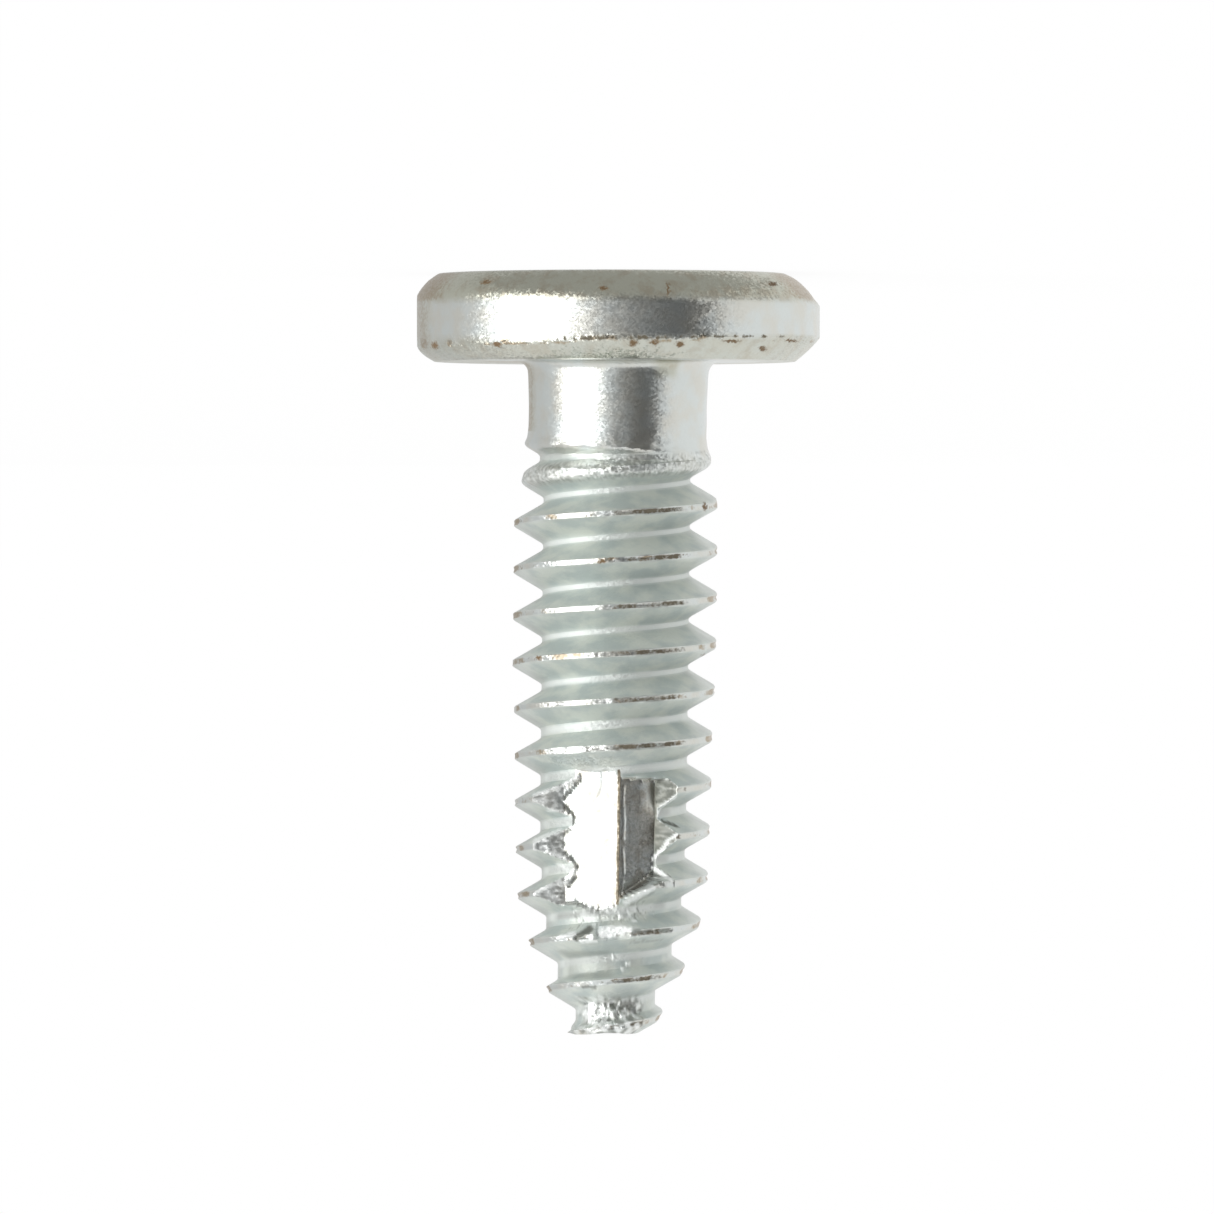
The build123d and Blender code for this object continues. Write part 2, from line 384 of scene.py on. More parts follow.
def ray_radius(bearing, corner_a, corner_b):
    """How far out a line seen along the axis is, in the direction of a bearing."""
    turn = np.radians(bearing)
    run = (corner_b[0] - corner_a[0], corner_b[1] - corner_a[1])
    return (corner_a[0] * run[1] - corner_a[1] * run[0]) / (np.sin(turn) * run[1] - np.cos(turn) * run[0])


def flute_radius(bearing, z):
    """Radius of the flute's facets and of the slopes beside them."""
    radius = np.full_like(bearing, NO_CUT)
    for corner_a, corner_b in zip(FLUTE_CORNERS, FLUTE_CORNERS[1:]):
        start, end = (math.degrees(math.atan2(*corner)) for corner in (corner_a, corner_b))
        inside = (bearing >= start) & (bearing < end)
        radius = np.where(inside, ray_radius(bearing, corner_a, corner_b), radius)
    return radius * np.interp(z, *zip(*FLUTE_DEEPENING))


def in_flute_length(bearing, z):
    """1 between the flute's upper and lower ends, and 0 above and below."""
    head_end = np.interp(bearing, *zip(*FLUTE_HEAD))
    foot = np.interp(bearing, *zip(*FLUTE_FOOT))
    return smooth((z - head_end) / HEAD_END_SOFT) * smooth((foot - z) / FOOT_SOFT)


def fold_wander(bearing, z):
    """How far the edges of the folds and hollows wander."""
    return FOLD_WANDER * rough(bearing, z, crest_radius(z), 0.07, 18)


def strokes(right, z, wander):
    """The front's folds, which also get a painted highlight, and its hollows, which also get painted shade,
    both from 0 to 1.
    """
    levels = [np.zeros_like(right), np.zeros_like(right)]
    for start_right, start_z, end_right, end_z, width, strength in STROKES:
        run = (end_right - start_right, end_z - start_z)
        along = (right - start_right) * run[0] + (z - start_z) * run[1]
        along = np.clip(along / max(run[0] ** 2 + run[1] ** 2, 1e-6), 0, 1)
        gap = np.hypot(right - start_right - along * run[0], z - start_z - along * run[1]) + wander
        level = smooth(1.5 - 2 * gap / width) * abs(strength)
        kind = 0 if strength > 0 else 1
        levels[kind] = np.maximum(levels[kind], level)
    return levels


def climb(bearing):
    """How far the thread climbs on its way round to a bearing."""
    return PITCH * bearing / 360 - THREAD_SWING * np.sin(np.radians(bearing))


def crest_place(bearing, z):
    """Which crest is nearest, counted from the fifth one's front, and how far z is from its middle."""
    front_z = z + climb(bearing)
    turn = np.round((front_z - FRONT_CREST_Z) / PITCH)
    return front_z, turn, front_z - (FRONT_CREST_Z + PITCH * turn)


def zone(value, low, high, edge):
    """1 between two limits and 0 outside them, with soft edges."""
    return smooth((value - low) / edge + 0.5) * smooth((high - value) / edge + 0.5)


def patch(bearing, z, limits):
    """1 inside a patch of the surface and 0 outside it, with soft edges."""
    bearings, heights = limits
    return zone(bearing, *bearings) * zone(z, *heights)


def scraped_place(bearing, turn):
    """Where one crest above the flute is scraped, from 0 to 1."""
    return (turn == SCRAPED_TURN) * zone(bearing, *SCRAPED_BEARINGS)


def uncut_thread(bearing, z):
    """Radius of the threaded part before its flute is cut, with its seam and its worn and scraped places."""
    front_z, turn, off_crest = crest_place(bearing, z)
    side = np.sin(np.radians(bearing))
    flare = np.interp(z - (LIP_PEAK + LIP_PEAK_SWING * side), *zip(*LIP_FLARE))
    blank = np.where(z < LIP_END, crest_radius(NECK_TOP + 0 * z) + flare, crest_radius(z))
    on_thread = smooth((front_z - THREAD_BEGINS) / 0.3)
    on_crest = smooth(1.5 - np.abs(off_crest) / CREST_EDGE)
    grit = np.abs(rough(bearing, z, NOISE_RADIUS, 0.09, 2)) * on_crest * on_thread
    blank = blank + SHANK_WAVES * rough(bearing, z, NOISE_RADIUS, 0.35, 1) - CREST_GRIT * grit
    # Crumpled dents, drawn out sideways, where the first crest is pitted and another one scraped
    pitted = zone(front_z, *FIRST_CREST, 0.08) * zone(bearing, *PITTED_BEARINGS)
    scraped = scraped_place(bearing, turn) * on_crest
    crumpled = chips(0.6 * bearing, z, NOISE_RADIUS, 0.14, 12)
    blank = blank - crumpled * (SCRAPE_DEPTH * scraped + PIT_DEPTH * pitted)
    blend = CREST_BLEND + RUNOUT_BLEND * smooth((4.95 - front_z) / 0.3)
    worn = CREST_WEAR * np.clip(side, 0, 1) * on_thread
    radius = soft_min(blank - worn, groove_radius(bearing, z), blend)
    # The fold that thread rolling leaves along each crest, plainest right of the front
    plain = zone(bearing, *SEAM_BEARINGS) * (turn != CRUSHED_TURN)
    ends = smooth((np.abs(bearing) - 60) / 20)
    strength = smooth(0.1 + 0.6 * plain + 0.3 * ends + 0.8 * rough(bearing, turn, NOISE_RADIUS, 0.5, 3))
    fold = np.clip(1 - (off_crest / SEAM_HALF_WIDTH) ** 2, 0, 1)
    return radius - SEAM_DEPTH * fold * strength * on_thread


def flute_cut(bearing, z):
    """Radius that the flute cuts the thread down to: facets with a small dent and curl, and torn slopes."""
    facet = flute_radius(bearing, z)
    right, dent_z = DENT_MIDDLE
    off_dent = np.hypot(facet * np.sin(np.radians(bearing)) - right, z - dent_z) - DENT_RADIUS
    facet = facet - DENT_DEPTH * np.exp(-(off_dent / DENT_WIDTH) ** 2) * (bearing < 0)
    curl = np.clip((bearing - CURL_START) / CURL_RUN, 0, 1) ** 2
    curl = curl * (bearing < FACET_EDGES[1]) * zone(z, *CURL_HEIGHTS)
    slopes = smooth((-40.5 - bearing) / 3) + 0.4 * smooth((bearing - 36.5) / 2)
    return facet - CURL_DEPTH * curl + slopes * 0.04 * rough(bearing, z, NOISE_RADIUS, 0.22, 16)


def thread_surface(bearing, z):
    """Radius of the threaded part at each bearing and height, with its flute and damage."""
    radius = uncut_thread(bearing, z)
    inside = in_flute_length(bearing, z)
    depth = radius - flute_cut(bearing, z)
    folds = rough(bearing, z, NOISE_RADIUS, 0.2, 16)
    radius = np.where(depth > 0, radius - depth * inside, radius)
    # Burrs stand along the flute's edges, where the thread was broken
    beside = zone(bearing, *BURR_LEFT) + zone(bearing, *BURR_RIGHT)
    burr = np.exp(-(depth / BURR_WIDTH) ** 2) * beside * smooth((radius - 1.76) / 0.06)
    radius = radius + BURR_HEIGHT * burr * zone(z, *BURR_HEIGHTS) * (0.7 + 0.9 * folds)
    # The crest under the flute is crushed flat, with rough metal above it
    flat = (CRUSHED_FLAT + CRUSHED_SLOPE * (z - CRUSHED_Z)) / np.cos(np.radians(bearing - CRUSHED_BEARING))
    crushed = patch(bearing + 8 * folds, z + 0.05 * folds, CRUSHED_PATCH)
    radius = radius + (flat - radius) * crushed
    radius = radius + under_flute(bearing, z) * (0.02 - 0.04 * chips(bearing, z, NOISE_RADIUS, 0.16, 12))
    # The tip is torn, and has a small hook at its left
    radius = radius + at_tip(bearing, z) * (0.03 - 0.08 * chips(bearing, z, 1.0, 0.26, 13))
    radius = radius + HOOK_REACH * smooth((z - HOOK_Z) / 0.2) * zone(bearing, *HOOK_BEARINGS)
    bright, hollow_and_shade = strokes(radius * np.sin(np.radians(bearing)), z, fold_wander(bearing, z))
    radius = radius + (FOLD_HEIGHT * bright - HOLLOW_DEPTH * hollow_and_shade) * (np.abs(bearing) < FRONT_REACH)
    return radius + SKIN_WAVES * rough(bearing, z, NOISE_RADIUS, 0.16, 4) * (1 - inside)


def under_flute(bearing, z):
    """Where the metal under the flute's foot is torn, in patches, from 0 to 1."""
    spots = smooth(0.55 + 1.6 * rough(bearing, z, NOISE_RADIUS, 0.2, 17))
    bearings, heights = UNDER_FLUTE
    return zone(bearing, *bearings) * zone(z + 0.004 * bearing, *heights) * spots


def at_tip(bearing, z):
    """Where the tip is torn, from 0 to 1."""
    ragged = rough(bearing, z, 1.2, 0.3, 18)
    return zone(bearing + 14 * ragged, *TIP_BEARINGS) * smooth((z + 0.12 * ragged - TIP_TORN_Z) / 0.25)


def tip_height(lateral):
    """Height of the ragged end of the screw, by how far to the right a place on it is."""
    return np.interp(lateral, *zip(*TIP_EDGE))


def column_bearings():
    """The bearings of the mesh's columns: close together at the front and exactly on the flute's edges."""
    fine = np.arange(-FINE_REACH, FINE_REACH + FINE_STEP / 2, FINE_STEP)
    side = np.arange(FINE_REACH + SIDE_STEP, SIDE_REACH, SIDE_STEP)
    back = np.arange(-180, 180, BACK_STEP)
    back = back[np.abs(back) > SIDE_REACH + 1]
    edges = np.array([math.degrees(math.atan2(*corner)) for corner in FLUTE_CORNERS])
    wall = np.linspace(edges[4], edges[5], WALL_COLUMNS)[1:-1]
    edges = np.concatenate([edges, wall])
    clear = [np.min(np.abs(edges - place)) > COLUMN_GAP for place in fine]
    return np.sort(np.concatenate([fine[np.array(clear)], side, -side, back, edges]))


def around(bearing, radius, z):
    """Turns bearings, radii and heights into points, one row for each height."""
    turn = np.radians(bearing)
    return np.stack([-radius * np.sin(turn), -radius * np.cos(turn), z + 0 * turn], axis=-1)


def cross_outline(bearing, size):
    """Bearing and radius of a cross recess's edge, with the nearest columns moved onto its corners."""
    span, width, core = size
    bearing = bearing.copy()
    end_corner = math.degrees(math.atan2(width, span))
    core_corner = math.degrees(math.asin(width / 2 / core))
    for wing in (-180, -90, 0, 90):
        for corner in (-core_corner, -end_corner, end_corner, core_corner):
            goal = (wing + corner + 180) % 360 - 180
            nearest = np.argmin(np.abs((bearing - goal + 180) % 360 - 180))
            bearing[nearest] = goal
    local = np.radians((bearing + 45) % 90 - 45)
    end = span / 2 / np.cos(local)
    side = width / 2 / np.maximum(np.abs(np.sin(local)), 1e-6)
    return bearing, np.maximum(core, np.minimum(end, side))


def head_rings(bearing):
    """Rows of points from the middle of the recess floor, over the head and down to the top of the neck."""
    floor_bearing, floor_radius = cross_outline(bearing, RECESS_FLOOR)
    edge_bearing, edge_radius = cross_outline(bearing, RECESS_TOP)
    rings = [
        around(bearing, 0 * bearing, RECESS_DEPTH - 0.05),
        around(floor_bearing, 0.5 * floor_radius, RECESS_DEPTH - 0.02),
        around(floor_bearing, floor_radius, RECESS_DEPTH - 0.04),
    ]
    edge = around(edge_bearing, edge_radius, RECESS_CHAMFER)
    for share in (0.33, 0.67, 1):
        rings.append(rings[2] * (1 - share) + edge * share)
    lip = around(edge_bearing, edge_radius + RECESS_CHAMFER, 0.0)
    rings.append(lip)
    rim = around(bearing, HEAD_PROFILE[0][0], 0.0)
    for share in (0.35, 0.7):
        rings.append(lip * (1 - share) + rim * share)
    leftness = -np.sin(np.radians(bearing))
    for radius, z in HEAD_PROFILE:
        fuller = np.minimum(radius + np.interp(z, *zip(*HEAD_SWING)) * leftness, HEAD_RADIUS)
        rings.append(around(bearing, fuller - HEAD_WAVES * np.abs(rough(bearing, z, radius, 0.5, 5)), z))
    bevel_start = BEVEL_START + BEVEL_START_SWING * leftness
    bevel_start = bevel_start + BEVEL_EDGE_WAVES * rough(bearing, 1.5, HEAD_NOISE_RADIUS, 0.4, 6)
    for z in SIDE_ROWS:
        radius = HEAD_RADIUS - HEAD_WAVES * np.abs(rough(bearing, z, HEAD_RADIUS, 0.6, 7))
        rings.append(around(bearing, radius, np.minimum(z, bevel_start - 0.03)))
    under = UNDERSIDE_RADIUS + UNDERSIDE_SWING * leftness
    for step in range(BEVEL_STEPS + 1):
        share = step / BEVEL_STEPS
        radius = parabola(HEAD_RADIUS - 0.005, under, BEVEL_BULGE + BEVEL_SWING * leftness, share)
        z = bevel_start + (HEAD_THICKNESS - bevel_start) * share
        rings.append(around(bearing, radius + BEVEL_WAVES * rough(bearing, z, 4.4, 0.3, 8) * share, z))
    fillet_outer = NECK_RADIUS + NECK_FILLET
    for radius in (*UNDERSIDE_ROWS, fillet_outer):
        rings.append(around(bearing, radius, HEAD_THICKNESS + HEAD_WAVES * rough(bearing, 2, radius, 0.5, 9)))
    for angle in FILLET_ANGLES:
        turn = math.radians(angle)
        radius = fillet_outer - NECK_FILLET * math.sin(turn)
        rings.append(around(bearing, radius, HEAD_THICKNESS + NECK_FILLET * (1 - math.cos(turn))))
    for z in np.linspace(HEAD_THICKNESS + 0.35, NECK_TOP, NECK_ROWS):
        radius = crest_radius(z) + HEAD_WAVES * rough(bearing, z, NECK_RADIUS, 0.5, 10)
        rings.append(around(bearing, radius, z))
    return rings


def lean(points):
    """Tilts what stands above the head a little towards +X, as the CAD model's shank leans."""
    angle = bpy.context.scene.screw_shape.lean
    weight = smooth((points[..., 2] - HEAD_THICKNESS) / NECK_FILLET)
    inside = np.hypot(points[..., 0], points[..., 1]) < SHANK_REACH
    shift = np.where(inside, weight, 0)
    x, z = points[..., 0], points[..., 2] - HEAD_THICKNESS
    leaning = points.copy()
    leaning[..., 0] = x + shift * (x * math.cos(angle) + z * math.sin(angle) - x)
    leaning[..., 2] = points[..., 2] + shift * (z * math.cos(angle) - x * math.sin(angle) - z)
    return leaning


def welded(points, quads):
    """Joins points that lie in one place and drops the faces that vanish with them."""
    keys = np.round(points * WELD_STEPS).astype(np.int64)
    _, first, same = np.unique(keys, axis=0, return_index=True, return_inverse=True)
    same = same.reshape(-1)
    faces = []
    for quad in same[quads].tolist():
        face = [corner for place, corner in enumerate(quad) if corner != quad[place - 1]]
        if len(set(face)) == len(face) and len(face) > 2:
            faces.append(face)
    return points[first], faces


def ring_quads(start, rows, count):
    """Faces between closed rings of points, where each ring has count points."""
    quads = []
    for row in range(rows - 1):
        here, above = start + row * count, start + (row + 1) * count
        for column in range(count):
            after = (column + 1) % count
            quads.append((here + column, above + column, above + after, here + after))
    return quads


def spiral_quads(start, rows, count, per_turn):
    """Faces of the thread, whose last column meets the first one a turn of the thread further down."""
    quads = []
    for row in range(rows - 1):
        here, above = start + row * count, start + (row + 1) * count
        for column in range(count - 1):
            quads.append((here + column, above + column, above + column + 1, here + column + 1))
        here_after = start + max(row - per_turn, 0) * count
        above_after = start + max(row + 1 - per_turn, 0) * count
        quads.append((here + count - 1, above + count - 1, above_after, here_after))
    return quads


def tip_cap(bearing, border):
    """Rings that close the end of the screw, from its edge in to the middle."""
    cap = [border]
    for share in CAP_RINGS:
        ring = border.copy()
        ring[:, :2] *= share
        ring[:, 2] = tip_height(-ring[:, 0]) - CAP_SINK * (1 - share)
        if share:
            ring[:, 2] += CAP_WAVES * (rough(bearing, 17 + share, share, 0.15, 11) - 0.5)
        cap.append(ring)
    return cap


def screw_mesh():
    """The whole screw as one closed mesh: rings for the head and neck, a spiral grid for the thread."""
    bearing = column_bearings()
    count = len(bearing)
    rings = head_rings(bearing)
    offsets = sorted({-place for place in CREST_ROWS} | set(CREST_ROWS) | {PITCH / 2})
    front_heights = [FRONT_CREST_Z + PITCH * turn + off for turn in MESH_TURNS for off in offsets]
    z = np.array(front_heights)[:, None] - climb(bearing)[None, :]
    # The height of the tip's edge depends on its radius there, and the other way round
    edge_z = np.full(count, TIP_EDGE_START)
    for _ in range(4):
        edge_z = tip_height(thread_surface(bearing, edge_z) * np.sin(np.radians(bearing)))
    z = np.clip(z, NECK_TOP, edge_z[None, :])
    bearings = np.broadcast_to(bearing[None, :], z.shape)
    neck_radius = np.linalg.norm(rings[-1][:, :2], axis=1)
    radius = np.where(z <= NECK_TOP, neck_radius[None, :], thread_surface(bearings, z))
    spiral = around(bearings, radius, z)
    cap = tip_cap(bearing, spiral[-1])
    spiral_start = len(rings) * count
    cap_start = spiral_start + len(spiral) * count
    quads = ring_quads(0, len(rings), count)
    quads += spiral_quads(spiral_start, len(spiral), count, len(offsets))
    quads += ring_quads(cap_start, len(cap), count)
    points = np.concatenate([np.array(part).reshape(-1, 3) for part in (rings, spiral, cap)])
    return welded(points, np.array(quads))


def head_marks(bearing, z, head):
    """The head's shoulder, darker partly from worn plating and partly from painted shade, its duller lower
    bevel, and the specks and dark line along its rim, from 0 to 1.
    """
    shoulder = smooth((0.78 - z) / 0.25) * smooth((z + 0.05) / 0.1) * head
    rim = BEVEL_START - BEVEL_START_SWING * np.sin(np.radians(bearing))
    rim = rim + 0.04 * rough(bearing, 0, HEAD_NOISE_RADIUS, 0.4, 25)
    under_rim = smooth((z - rim + 0.03) / 0.05) * head
    spots = rough(bearing, 3 * z, HEAD_NOISE_RADIUS, 0.3, 23)
    speckled = 0.75 * zone(z, rim - 0.03, rim + 0.12, 0.05) * smooth(0.2 + 1.4 * spots) * head
    rim_line = zone(bearing, *RIM_LINE_DARK) + 0.75 * zone(bearing, *RIM_LINE_PALE)
    rim_line = rim_line * zone(z, rim - 0.05, rim + 0.03, 0.04) * head
    rim_line = rim_line * smooth(0.6 + 1.5 * rough(bearing, z, HEAD_NOISE_RADIUS, 0.12, 24))
    return shoulder, under_rim, speckled, rim_line


def torn_marks(points, bearing, front, in_flute, facet, pitted, matt, root):
    """Painted highlights on bare metal, and painted shade in hollows and on nearby roots and flanks, where
    the thread is broken, torn or pitted, both from 0 to 1.
    """
    z = points[:, 2]
    bare_and_glint, hollow_and_shade = (level * front for level in strokes(-points[:, 0], z, fold_wander(bearing, z)))
    spots = rough(bearing, z, crest_radius(z), 0.07, 19)
    patches = rough(bearing, z, crest_radius(z), 0.13, 20)
    # The broken ends of the thread get painted shade, most at the right, and a painted highlight at the left,
    # and torn metal gets painted highlights and painted shade in small spots
    wedge = in_flute * (1 - facet)
    edge_of_wall = in_flute * (np.abs(bearing - WALL_EDGE) < 0.2)
    torn = at_tip(bearing, z)
    torn_spots = np.maximum(under_flute(bearing, z), 0.7 * pitted)
    # Partly bare metal and partly a painted highlight: near-white on the bright strokes, on the broken ends
    # at the left and in spots of torn metal.
    bare_and_glint = np.maximum.reduce([
        bare_and_glint, wedge * (bearing < 0) * (0.35 + 0.8 * spots), 0.8 * torn * smooth(2.5 * patches),
        0.7 * torn_spots * smooth(3 * spots - 0.2),
    ])
    near_left = patch(bearing, z, BESIDE_FLUTE_LEFT) + zone(bearing, *BELOW_FOOT) * (z > BELOW_FOOT_Z)
    near_right = patch(bearing, z, BESIDE_FLUTE_RIGHT)
    # Painted shade: dark colour in the hollows, on the broken ends at the right, on the roots beside the
    # flute, in spots of torn metal, along the edge of the flute's wall and on some flanks and roots under the
    # flute.
    hollow_and_shade = np.maximum.reduce([
        hollow_and_shade, wedge * (0.12 + 0.78 * (bearing > 0) - 0.5 * spots), 0.28 * root * (near_left + near_right),
        0.7 * torn * smooth(-2.5 * patches - 0.1), 0.6 * torn_spots * smooth(-3 * spots - 0.2),
        0.8 * edge_of_wall, 0.35 * matt * patch(bearing, z, SHADED_FLANK),
        0.55 * root * patch(bearing, z, SHADED_ROOT),
    ])
    return np.clip(bare_and_glint, 0, 1), np.clip(hollow_and_shade, 0, 1)


def surface_marks(points):
    """What the surface is like at each point of the upright screw, with the places where highlights and shade
    are painted on. Each mark goes from 0 to 1.
    """
    radius = np.hypot(points[:, 0], points[:, 1])
    bearing = np.degrees(np.arctan2(-points[:, 0], -points[:, 1]))
    z = points[:, 2]
    front_z, turn, off_crest = crest_place(bearing, z)
    shank = radius < SHANK_REACH
    threaded = smooth((z - 4.0) / 0.3) * shank
    on_seam = threaded * smooth((front_z - THREAD_BEGINS) / 0.2)
    crest = smooth(1.4 - np.abs(off_crest) / 0.075) * (radius > 0.985 * crest_radius(z) - 0.04) * on_seam
    cut_away = uncut_thread(bearing, z) - flute_cut(bearing, z) > 0.004
    in_flute = cut_away * (in_flute_length(bearing, z) > 0.5) * shank
    facet = in_flute * (bearing > FACET_EDGES[0]) * (bearing < FACET_EDGES[1])
    pitted = zone(front_z, *FIRST_CREST, 0.1) * shank
    # Rolled flanks and roots have a matt film, while crests and torn places are bare
    matt = threaded * (1 - crest) * (1 - in_flute) * (1 - 0.7 * pitted) * (1 - 0.8 * at_tip(bearing, z))
    matt = matt * (1 - 0.5 * smooth((np.abs(bearing) - 55) / 25))
    # The roots also get a painted highlight: a paler colour than the flanks.
    root = matt * smooth(1.3 - (PITCH / 2 - np.abs(off_crest)) / 0.09)
    front = threaded * (np.abs(bearing) < FRONT_REACH)
    bare_and_glint, hollow_and_shade = torn_marks(points, bearing, front, in_flute, facet, pitted, matt, root)
    head = (z < 2.0) * (radius > HEAD_INSIDE)
    shoulder, under_rim, speckled, rim_line = head_marks(bearing, z, head)
    # Worn through to tan: patches of the crests, the flute's ridge, and the ends of the head's shoulder
    blots = rough(bearing, z, NOISE_RADIUS, 0.45, 21)
    ends = smooth((np.abs(bearing) - 58) / 20)
    ridge = smooth(1.6 - np.abs(bearing - RIDGE_BEARING) / 1.2) * (radius < RIDGE_RADIUS)
    ridge = ridge * (z > RIDGE_HEIGHTS[0]) * (z < RIDGE_HEIGHTS[1])
    left_edge = smooth((-bearing - 62) / 14) * (z < 3.6) * (1 - under_rim)
    worn = np.maximum.reduce([
        crest * smooth(0.15 + 0.8 * blots + 0.55 * ends), 0.8 * ridge, speckled,
        0.8 * shoulder * smooth((np.abs(bearing) - 48) / 25), 0.5 * left_edge,
    ])
    residue = patch(bearing, z, NECK_RESIDUE) * shank
    # A duller colour on the head's edges and on the neck's residue. On the head's shoulder, which faces the
    # floor, it is partly worn plating and partly painted shade.
    dull_and_shade = np.maximum.reduce([shoulder, 0.6 * under_rim, 0.6 * left_edge, 0.8 * residue])
    # Dirt in the seam along the crests, along the rim of the head and on the flute's ridge
    seam = smooth(1.6 - np.abs(off_crest) / 0.05) * on_seam * (1 - in_flute) * (turn != CRUSHED_TURN)
    uneven = 0.5 * rough(bearing, turn * 3.1 + z, NOISE_RADIUS, 0.3, 22)
    grime = seam * (0.08 + 0.5 * zone(bearing, *GRIME_BEARINGS) + uneven)
    grime = np.maximum.reduce([grime, 0.9 * rim_line, 0.55 * ridge])
    # Uneven metal, which glitters
    glitter = 0.3 * zone(bearing, *GLITTERING_FRONT) + 0.3 * patch(bearing, z, GLITTERING_ROOTS)
    rugged = np.maximum.reduce([
        0.12 * crest, 0.05 * pitted + 0.2 * pitted * zone(bearing, *GLITTERING_PITS),
        0.3 * scraped_place(bearing, turn) * crest, 0.6 * patch(bearing, z, ABOVE_FLUTE), root * glitter,
        0.3 * under_flute(bearing, z), 0.2 * at_tip(bearing, z), 0.4 * bare_and_glint,
        0.12 * shoulder + 0.2 * under_rim + 0.35 * speckled, 0.08 * in_flute * (1 - facet),
    ])
    return {
        "matt": matt, "root": root, "worn": worn, "grime": grime, "dull_and_shade": dull_and_shade, "rugged": rugged,
        "facet": facet * 1.0, "bare_and_glint": bare_and_glint, "hollow_and_shade": hollow_and_shade,
    }


def add_node(tree, kind, sockets=None, **settings):
    """Adds one node with its settings, and links or sets its sockets."""
    node = tree.nodes.new(kind)
    for name, value in settings.items():
        setattr(node, name, value)
    for name, value in (sockets or {}).items():
        if isinstance(value, bpy.types.NodeSocket):
            tree.links.new(value, node.inputs[name])
        else:
            node.inputs[name].default_value = value
    return node


# Rust specks on the front: how far right of the middle, height z, how wide and how high
RUST_SPECKS = (
    (-2.98, 0.27, 0.13, 0.06), (-0.35, 0.43, 0.10, 0.07), (1.11, 0.45, 0.05, 0.16), (0.33, 1.66, 0.10, 0.09),
    (0.79, 1.64, 0.09, 0.08), (1.38, 1.68, 0.10, 0.06), (2.54, 1.60, 0.20, 0.03), (3.24, 1.75, 0.09, 0.06),
    (-2.72, 1.68, 0.12, 0.06), (-4.15, 1.66, 0.08, 0.09), (3.47, 0.29, 0.12, 0.05), (-0.39, 6.54, 0.09, 0.05),
    (1.95, 5.30, 0.05, 0.10), (-1.80, 8.72, 0.08, 0.05), (1.93, 8.70, 0.04, 0.08), (3.9, 1.56, 0.15, 0.03),
)
# How far the specks' edges wander to the sides and up, and over what distance
RUST_WANDER = (0.22 * MM, 0.0, 0.16 * MM)
RUST_WANDER_SIZE = 0.07
# Real sizes of the patterns in the plating
BLOTCH_SIZE = 0.6
FLECK_SIZE = 0.07
STAIN_SIZE = 0.35
CRYSTAL_SIZE = 0.042
SCRATCH_WIDTH = 0.13
SCRATCH_DEPTH = 0.002
# How much each plating crystal tilts: on smooth metal, on the flute's facets and where the metal is torn
CRYSTAL_TILT = 0.11
FACET_TILT = 0.04
TORN_TILT = 1.1
# How metallic each surface is. The film on the rolled flanks scatters some light, and dirt most of it. Torn
# metal is mostly matt, so its painted highlights show bright from every side, and the hollows with their
# painted shade are partly matt.
FILM_METALLIC = 0.5
HOLLOW_AND_SHADE_METALLIC = 0.35
BARE_AND_GLINT_METALLIC = 0.25
DIRT_METALLIC = 0.25
# How rough dirt is, and how strong the brownish stains are
DIRT_ROUGHNESS = 0.6
STAIN_STRENGTH = 0.5


def rust_mask(tree, place):
    """One value that is 1 inside the rust specks, with ragged edges, and 0 elsewhere."""
    wobble = add_node(
        tree, "ShaderNodeTexNoise", {"Vector": place, "Scale": 1 / (RUST_WANDER_SIZE * MM), "Detail": 3.0}
    )
    shift = add_node(
        tree, "ShaderNodeVectorMath", {0: wobble.outputs["Color"], 1: (0.5, 0.5, 0.5)}, operation="SUBTRACT"
    )
    moved = add_node(
        tree, "ShaderNodeVectorMath",
        {0: shift.outputs["Vector"], 1: RUST_WANDER, 2: place}, operation="MULTIPLY_ADD",
    )
    parts = add_node(tree, "ShaderNodeSeparateXYZ", {"Vector": moved.outputs["Vector"]})
    flat = add_node(tree, "ShaderNodeCombineXYZ", {"X": parts.outputs["X"], "Z": parts.outputs["Z"]})
    mask = None
    for right, z, wide, high in RUST_SPECKS:
        local = add_node(
            tree, "ShaderNodeMapping",
            {
                "Vector": flat.outputs["Vector"], "Location": (-right * MM, 0.0, z * MM),
                "Scale": (wide, 1.0, high),
            },
            vector_type="TEXTURE",
        )
        gap = add_node(tree, "ShaderNodeVectorMath", {0: local.outputs["Vector"]}, operation="LENGTH")
        speck = add_node(
            tree, "ShaderNodeMapRange",
            {"Value": gap.outputs["Value"], "From Min": 1.25 * MM, "From Max": 0.5 * MM},
        )
        level = speck.outputs["Result"]
        if mask is not None:
            level = add_node(tree, "ShaderNodeMath", {0: mask, 1: level}, operation="MAXIMUM").outputs[0]
        mask = level
    front = add_node(tree, "ShaderNodeMath", {0: parts.outputs["Y"], 1: 0.0}, operation="LESS_THAN")
    return add_node(tree, "ShaderNodeMath", {0: mask, 1: front.outputs[0]}, operation="MULTIPLY").outputs[0]


